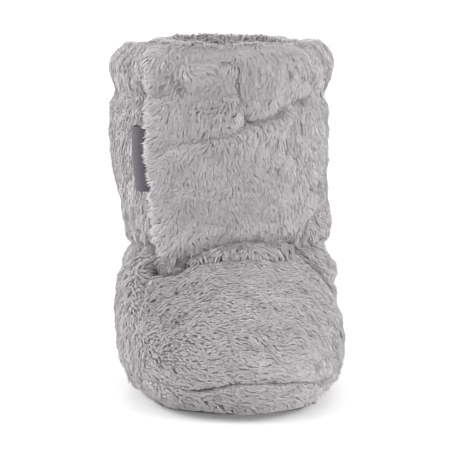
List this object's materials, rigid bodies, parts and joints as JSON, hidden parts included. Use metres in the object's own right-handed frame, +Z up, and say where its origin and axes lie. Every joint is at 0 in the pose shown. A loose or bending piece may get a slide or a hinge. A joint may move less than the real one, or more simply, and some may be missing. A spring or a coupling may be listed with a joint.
{
  "type": "baby bootie slipper",
  "caption": "Baby's ankle-high bootie in grey plush with a fleece lining, a wrap-round shaft closed by a broad front flap, a tongue, a pull tab and a thin dark non-slip sole.",
  "frame": {"origin": "on the floor, on the sole's flat underside, near the middle of the foot's length", "axes": "+Z up, -Y towards the toe, +X towards the inner side of the foot"},
  "size_m": [0.0812, 0.1205, 0.123],
  "materials": {
    "plush": "short soft pile in warm light grey",
    "fleece_lining": "matte brushed fleece in mid grey",
    "closing_panel": "matte hook and loop tape in pale grey",
    "ribbon": "satin woven ribbon in dark grey",
    "sole_suede": "matte brushed non-slip cloth in near black"
  },
  "bodies": {
    "root": {"outsole": "sole_suede", "insole": "fleece_lining", "upper": "plush", "tongue": "plush", "shaft": "plush", "loop_panel": "closing_panel", "hook_panel": "closing_panel", "pull_tab": "ribbon"}
  },
  "joints": []
}
